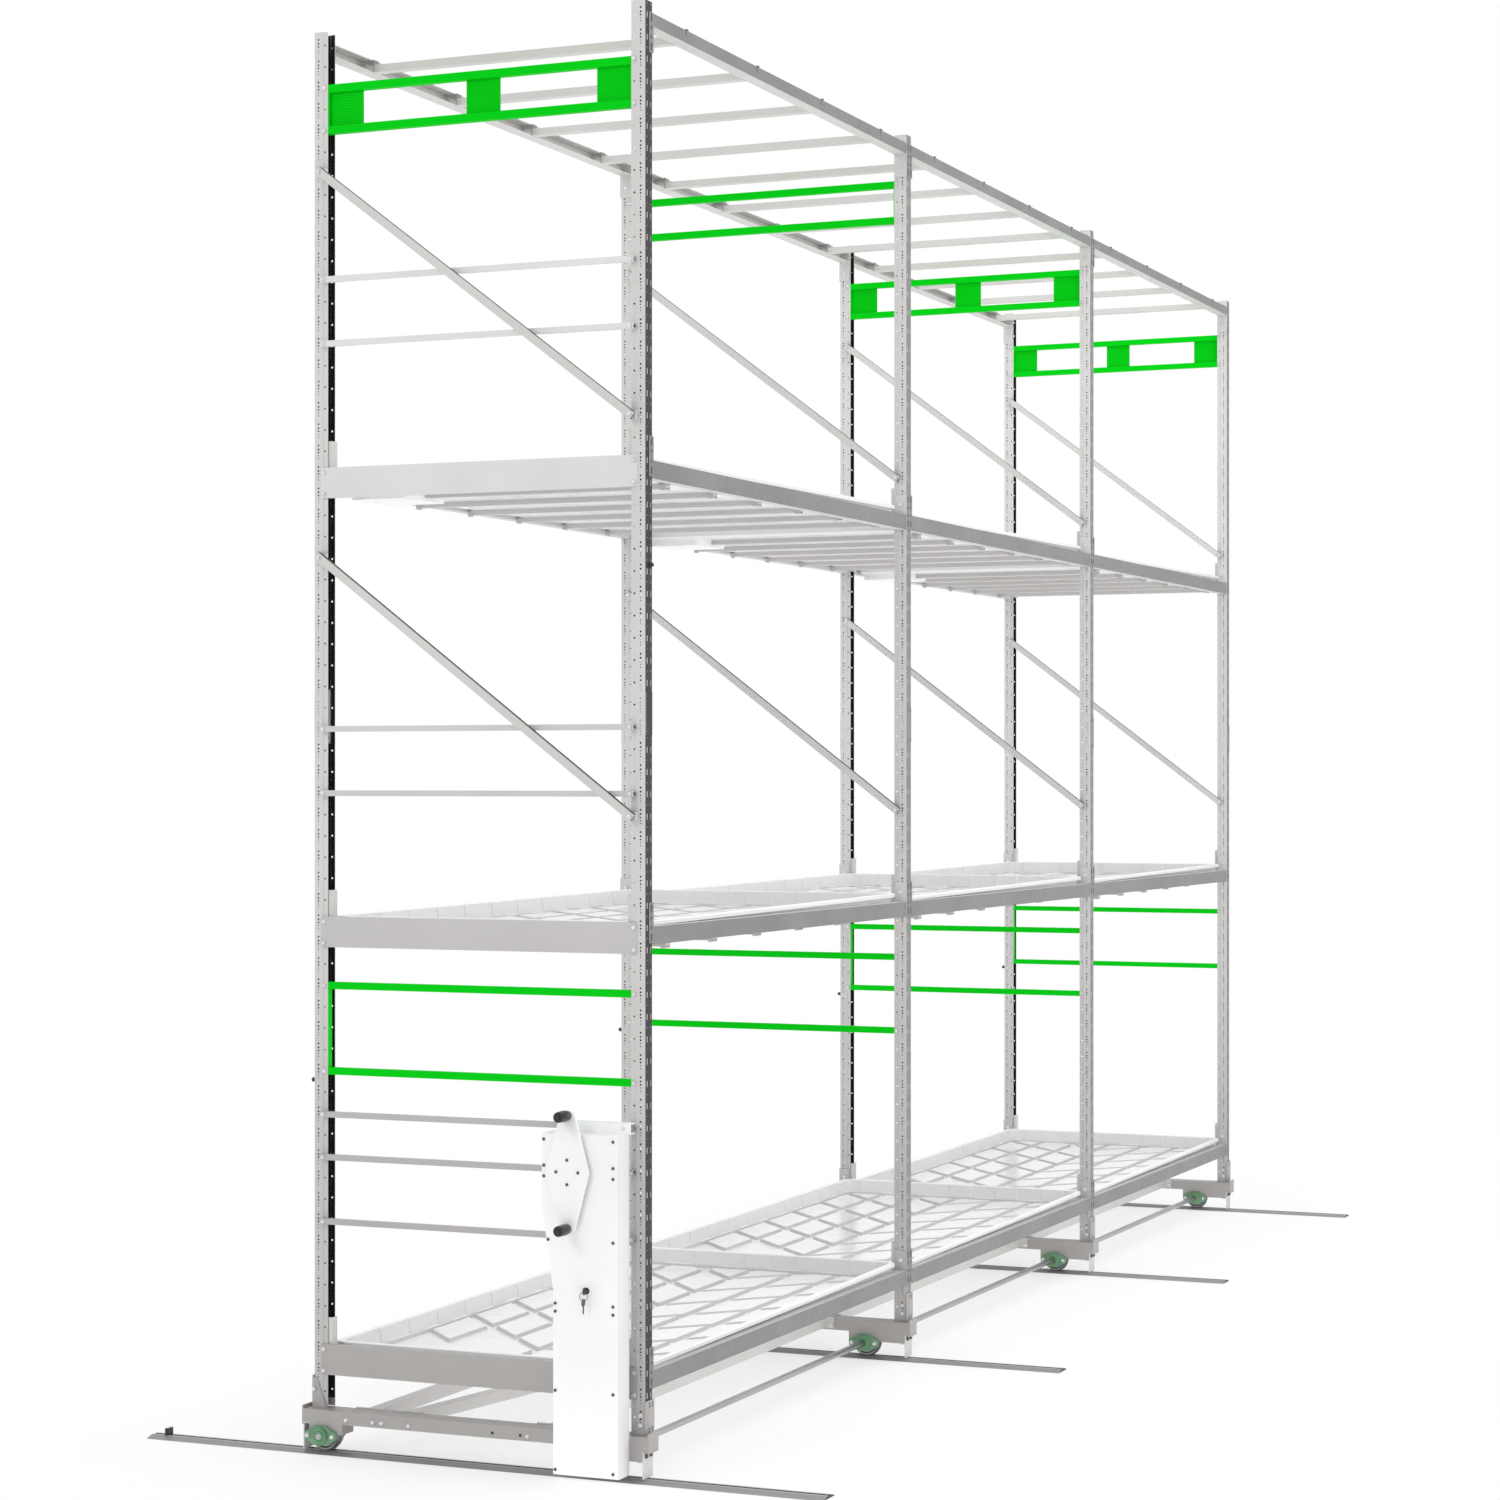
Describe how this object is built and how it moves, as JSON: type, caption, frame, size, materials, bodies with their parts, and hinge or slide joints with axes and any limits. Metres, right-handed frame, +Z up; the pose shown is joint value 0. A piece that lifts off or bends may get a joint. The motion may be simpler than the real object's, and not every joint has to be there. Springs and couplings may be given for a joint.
{
  "type": "rolling grow rack",
  "caption": "Multi-level rolling grow rack on floor rails, with wide plant trays, bars for lamps above them and a hand crank that rolls the whole rack sideways.",
  "frame": {"origin": "on the floor under the middle of the front floor rail", "axes": "+X along the floor rails towards the crank's side, +Y along the rack from the crank end to the far end, +Z up"},
  "size_m": [2.61, 7.8346, 4.984],
  "materials": {
    "grey_paint": "satin light grey",
    "pale_paint": "satin pale grey",
    "white_paint": "satin white",
    "green_paint": "satin bright green",
    "bearing_green": "satin muted green",
    "black_paint": "satin black",
    "white_plastic": "satin white",
    "black_plastic": "satin black",
    "rail_steel": "satin mid grey",
    "wheel_iron": "turned tread",
    "dark_steel": "dark",
    "bright_steel": "bright"
  },
  "bodies": {
    "rails": {"floor_rails": "rail_steel", "rail_end_stops": "rail_steel"},
    "carriage": {"flanged_bearings": "bearing_green", "base_beams": "grey_paint", "wheel_housings": "grey_paint", "rail_guards": "grey_paint", "base_ties": "pale_paint", "diagonal_base_ties": "pale_paint", "lower_posts": "grey_paint", "upper_posts": "grey_paint", "post_sleeves": "grey_paint", "post_feet": "grey_paint", "lower_side_beams": "grey_paint", "middle_side_beams": "grey_paint", "upper_side_beams": "grey_paint", "lower_connectors": "grey_paint", "middle_connectors": "grey_paint", "upper_connectors": "grey_paint", "lower_cross_bars": "pale_paint", "middle_cross_bars": "pale_paint", "upper_cross_bars": "pale_paint", "lower_trays": "white_plastic", "middle_trays": "white_plastic", "upper_trays": "white_plastic", "top_beams": "grey_paint", "top_connectors": "grey_paint", "light_bars": "pale_paint", "light_bar_hooks": "black_paint", "fascias": "grey_paint", "level_braces": "grey_paint", "diagonal_braces": "grey_paint", "upper_green_frames": "green_paint", "green_plates": "green_paint", "lower_green_frames": "green_paint", "crank_column": "white_paint", "column_back": "white_paint", "column_bracket": "white_paint", "crank_bush": "dark_steel", "column_lock": "bright_steel", "drive_chain": "dark_steel"},
    "drive_axle": {"drive_shaft": "bright_steel", "drive_wheels": "wheel_iron", "shaft_sprocket": "dark_steel"},
    "idle_1": {"idle_wheel_1": "wheel_iron"},
    "idle_2": {"idle_wheel_2": "wheel_iron"},
    "idle_3": {"idle_wheel_3": "wheel_iron"},
    "idle_4": {"idle_wheel_4": "wheel_iron"},
    "crank": {"crank_plate": "white_paint", "crank_shaft": "bright_steel", "crank_sprocket": "dark_steel", "grip_pins": "bright_steel"},
    "grip_up": {"upper_grip": "black_plastic"},
    "grip_down": {"lower_grip": "black_plastic"},
    "key": {"lock_plug": "bright_steel", "lock_key": "bright_steel", "key_ring": "bright_steel"}
  },
  "joints": [
    {"name": "carriage_slide", "type": "slide", "parent": "rails", "child": "carriage", "axis": [1, 0, 0], "range_m": [-0.56, 0.56]},
    {"name": "drive_shaft_turn", "type": "hinge", "parent": "carriage", "child": "drive_axle", "pos_m": [0.472, 0, 0.0653], "axis": [0, 1, 0], "range_deg": [-590, 590]},
    {"name": "idle_wheel_1_turn", "type": "hinge", "parent": "carriage", "child": "idle_1", "pos_m": [-0.59, 0, 0.0653], "axis": [0, 1, 0], "range_deg": [-590, 590]},
    {"name": "idle_wheel_2_turn", "type": "hinge", "parent": "carriage", "child": "idle_2", "pos_m": [-0.59, 2.518, 0.0653], "axis": [0, 1, 0], "range_deg": [-590, 590]},
    {"name": "idle_wheel_3_turn", "type": "hinge", "parent": "carriage", "child": "idle_3", "pos_m": [-0.59, 5.036, 0.0653], "axis": [0, 1, 0], "range_deg": [-590, 590]},
    {"name": "idle_wheel_4_turn", "type": "hinge", "parent": "carriage", "child": "idle_4", "pos_m": [-0.59, 7.554, 0.0653], "axis": [0, 1, 0], "range_deg": [-590, 590]},
    {"name": "crank_turn", "type": "hinge", "parent": "carriage", "child": "crank", "pos_m": [0.417, -0.14, 1.044], "axis": [0, 1, 0], "range_deg": [-1180, 1180]},
    {"name": "grip_up_turn", "type": "hinge", "parent": "crank", "child": "grip_up", "pos_m": [0.417, -0.18, 1.234], "axis": [0, 1, 0], "continuous": true},
    {"name": "grip_down_turn", "type": "hinge", "parent": "crank", "child": "grip_down", "pos_m": [0.417, -0.18, 0.854], "axis": [0, 1, 0], "continuous": true},
    {"name": "key_turn", "type": "hinge", "parent": "carriage", "child": "key", "pos_m": [0.479, -0.13, 0.648], "axis": [0, 1, 0], "range_deg": [0, 90]}
  ],
  "couplings": [
    {"joint": "drive_shaft_turn", "follows": "carriage_slide", "rad_per_m": 18.182},
    {"joint": "idle_wheel_1_turn", "follows": "carriage_slide", "rad_per_m": 18.182},
    {"joint": "idle_wheel_2_turn", "follows": "carriage_slide", "rad_per_m": 18.182},
    {"joint": "idle_wheel_3_turn", "follows": "carriage_slide", "rad_per_m": 18.182},
    {"joint": "idle_wheel_4_turn", "follows": "carriage_slide", "rad_per_m": 18.182},
    {"joint": "crank_turn", "follows": "carriage_slide", "rad_per_m": 36.364}
  ]
}
